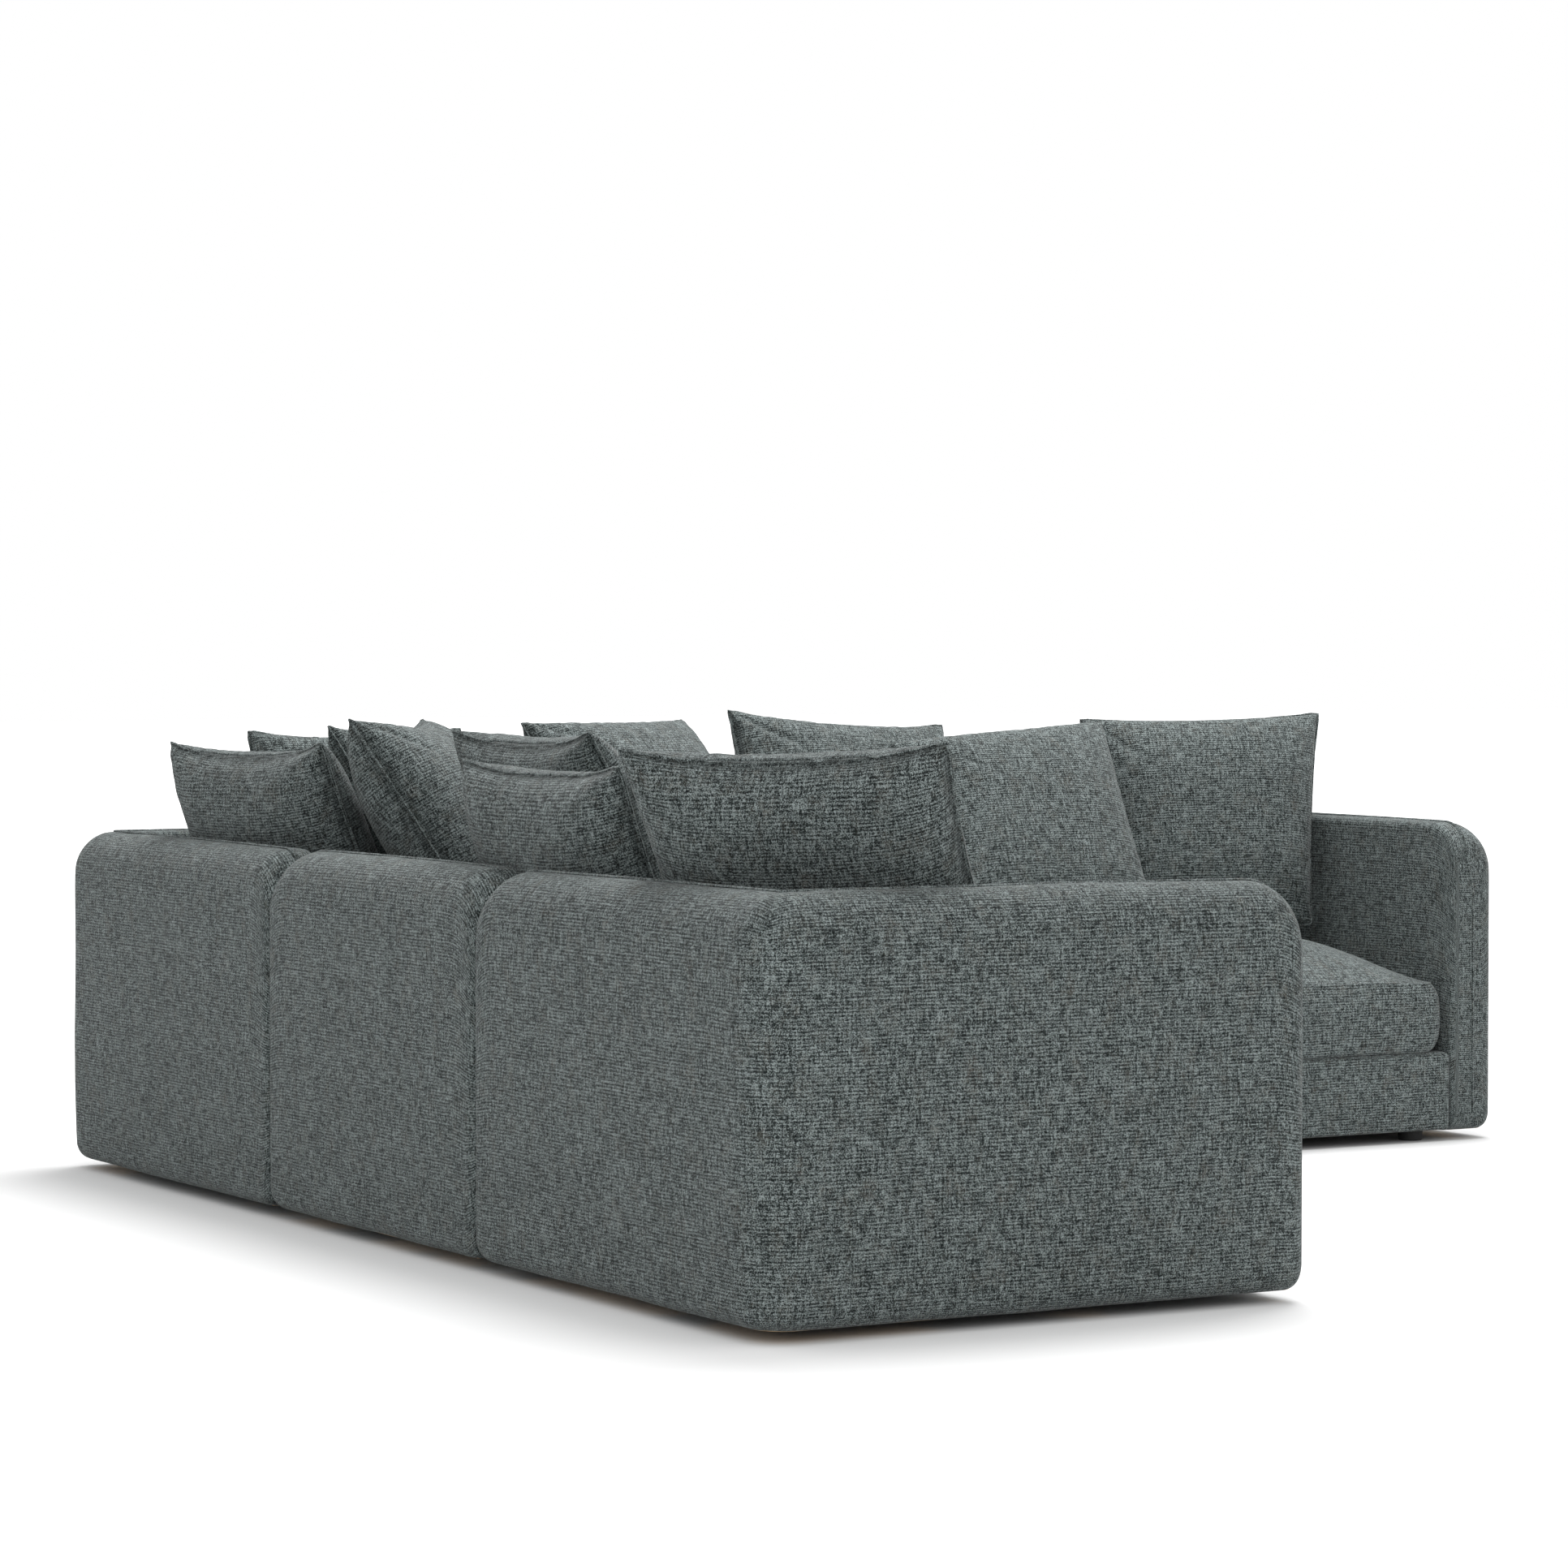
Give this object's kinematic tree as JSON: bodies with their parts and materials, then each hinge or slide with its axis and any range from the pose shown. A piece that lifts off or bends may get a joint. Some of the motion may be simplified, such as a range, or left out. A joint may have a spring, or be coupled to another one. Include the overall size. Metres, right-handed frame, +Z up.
{
  "type": "modular corner sofa",
  "caption": "Low modular corner sofa in heathered grey-green fabric, with wrap-round backs and arms, domed loose seat cushions and plump leaning back cushions.",
  "frame": {"origin": "centre of the square plan, on the floor", "axes": "+Z up; the left wing runs along Y at the -X side and faces +X, the right wing runs along X at the +Y side and faces -Y"},
  "size_m": [3, 3, 0.9669],
  "materials": {
    "upholstery": "heathered weave",
    "seat_upholstery": "heathered weave over soft foam",
    "cushion_upholstery": "heathered weave over loose filling",
    "timber": "sawn",
    "webbing": "elastic strap",
    "dust_cloth": "thin cloth",
    "foot_plastic": "matte",
    "zinc_steel": "zinc plated"
  },
  "bodies": {
    "sofa": {"near_end_wall_cover": "upholstery", "left_mid_wall_cover": "upholstery", "corner_wall_cover": "upholstery", "right_mid_wall_cover": "upholstery", "far_end_wall_cover": "upholstery", "near_end_wall_frame": "timber", "left_mid_wall_frame": "timber", "corner_wall_frame": "timber", "right_mid_wall_frame": "timber", "far_end_wall_frame": "timber", "near_end_base_cover": "upholstery", "left_mid_base_cover": "upholstery", "corner_base_cover": "upholstery", "right_mid_base_cover": "upholstery", "far_end_base_cover": "upholstery", "near_end_base_frame": "timber", "left_mid_base_frame": "timber", "corner_base_frame": "timber", "right_mid_base_frame": "timber", "far_end_base_frame": "timber", "near_end_webbing": "webbing", "left_mid_webbing": "webbing", "corner_webbing": "webbing", "right_mid_webbing": "webbing", "far_end_webbing": "webbing", "near_end_dust_cloth": "dust_cloth", "left_mid_dust_cloth": "dust_cloth", "corner_dust_cloth": "dust_cloth", "right_mid_dust_cloth": "dust_cloth", "far_end_dust_cloth": "dust_cloth", "near_end_feet": "foot_plastic", "left_mid_feet": "foot_plastic", "corner_feet": "foot_plastic", "right_mid_feet": "foot_plastic", "far_end_feet": "foot_plastic", "link_plates": "zinc_steel", "link_screws": "zinc_steel", "wall_bolts": "zinc_steel"},
    "near_end_seat_body": {"near_end_seat": "seat_upholstery"},
    "left_mid_seat_body": {"left_mid_seat": "seat_upholstery"},
    "corner_seat_body": {"corner_seat": "seat_upholstery"},
    "right_mid_seat_body": {"right_mid_seat": "seat_upholstery"},
    "far_end_seat_body": {"far_end_seat": "seat_upholstery"},
    "near_corner_cushion_body": {"near_corner_cushion": "cushion_upholstery"},
    "left_back_cushion_body": {"left_back_cushion": "cushion_upholstery"},
    "left_front_cushion_body": {"left_front_cushion": "cushion_upholstery"},
    "corner_left_cushion_body": {"corner_left_cushion": "cushion_upholstery"},
    "corner_back_cushion_body": {"corner_back_cushion": "cushion_upholstery"},
    "corner_middle_cushion_body": {"corner_middle_cushion": "cushion_upholstery"},
    "corner_front_cushion_body": {"corner_front_cushion": "cushion_upholstery"},
    "corner_right_cushion_body": {"corner_right_cushion": "cushion_upholstery"},
    "right_back_cushion_body": {"right_back_cushion": "cushion_upholstery"},
    "right_front_cushion_body": {"right_front_cushion": "cushion_upholstery"},
    "far_arm_cushion_body": {"far_arm_cushion": "cushion_upholstery"}
  },
  "joints": [
    {"name": "near_end_seat_slide", "type": "slide", "parent": "sofa", "child": "near_end_seat_body", "axis": [1, 0, 0], "range_m": [0, 0.6]},
    {"name": "left_mid_seat_slide", "type": "slide", "parent": "sofa", "child": "left_mid_seat_body", "axis": [1, 0, 0], "range_m": [0, 0.6]},
    {"name": "corner_seat_lift", "type": "slide", "parent": "sofa", "child": "corner_seat_body", "axis": [0, 0, 1], "range_m": [0, 0.1]},
    {"name": "right_mid_seat_slide", "type": "slide", "parent": "sofa", "child": "right_mid_seat_body", "axis": [0, 1, 0], "range_m": [-0.6, 0]},
    {"name": "far_end_seat_slide", "type": "slide", "parent": "sofa", "child": "far_end_seat_body", "axis": [0, -1, 0], "range_m": [0, 0.6]},
    {"name": "near_corner_cushion_lift", "type": "slide", "parent": "sofa", "child": "near_corner_cushion_body", "axis": [0, 0, 1], "range_m": [0, 0.35]},
    {"name": "left_back_cushion_lift", "type": "slide", "parent": "sofa", "child": "left_back_cushion_body", "axis": [0, 0, 1], "range_m": [0, 0.35]},
    {"name": "left_front_cushion_lift", "type": "slide", "parent": "sofa", "child": "left_front_cushion_body", "axis": [0, 0, 1], "range_m": [0, 0.35]},
    {"name": "corner_left_cushion_lift", "type": "slide", "parent": "corner_seat_body", "child": "corner_left_cushion_body", "axis": [-0.2563, -0.036, 0.9659], "range_m": [0, 0.35]},
    {"name": "corner_back_cushion_lift", "type": "slide", "parent": "corner_seat_body", "child": "corner_back_cushion_body", "axis": [0.3923, 0.2357, 0.8891], "range_m": [0, 0.35]},
    {"name": "corner_middle_cushion_lift", "type": "slide", "parent": "corner_seat_body", "child": "corner_middle_cushion_body", "axis": [-0.3657, 0.341, 0.866], "range_m": [0, 0.35]},
    {"name": "corner_front_cushion_lift", "type": "slide", "parent": "corner_seat_body", "child": "corner_front_cushion_body", "axis": [-0.2011, 0.1629, 0.9659], "range_m": [0, 0.35]},
    {"name": "corner_right_cushion_lift", "type": "slide", "parent": "corner_seat_body", "child": "corner_right_cushion_body", "axis": [0, 0, 1], "range_m": [0, 0.35]},
    {"name": "right_back_cushion_lift", "type": "slide", "parent": "sofa", "child": "right_back_cushion_body", "axis": [0, 0, 1], "range_m": [0, 0.35]},
    {"name": "right_front_cushion_lift", "type": "slide", "parent": "sofa", "child": "right_front_cushion_body", "axis": [0, 0, 1], "range_m": [0, 0.35]},
    {"name": "far_arm_cushion_lift", "type": "slide", "parent": "sofa", "child": "far_arm_cushion_body", "axis": [-0.0705, 0.2972, 0.9522], "range_m": [0, 0.35]}
  ]
}
